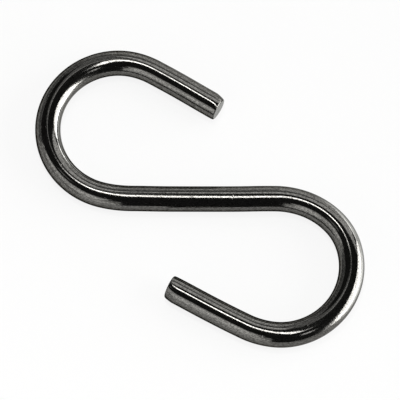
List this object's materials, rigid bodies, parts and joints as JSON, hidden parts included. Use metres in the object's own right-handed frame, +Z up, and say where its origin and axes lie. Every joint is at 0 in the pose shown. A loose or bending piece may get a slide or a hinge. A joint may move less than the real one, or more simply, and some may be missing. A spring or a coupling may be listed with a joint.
{
  "type": "s hook",
  "caption": "Round bar bent into an S: a straight shank between two open eyes, each with a straight tail leaning back to a narrower mouth and a sheared tip.",
  "frame": {"origin": "middle of the hook's outline, on the surface it lies on", "axes": "+X along the shank towards the lower eye, +Y towards the upper eye, +Z up, square to the plane of the bends"},
  "size_m": [0.0772, 0.0732, 0.006],
  "materials": {
    "bar": "bright drawn stainless steel, polished"
  },
  "bodies": {
    "root": {"hook": "bar"}
  },
  "joints": []
}
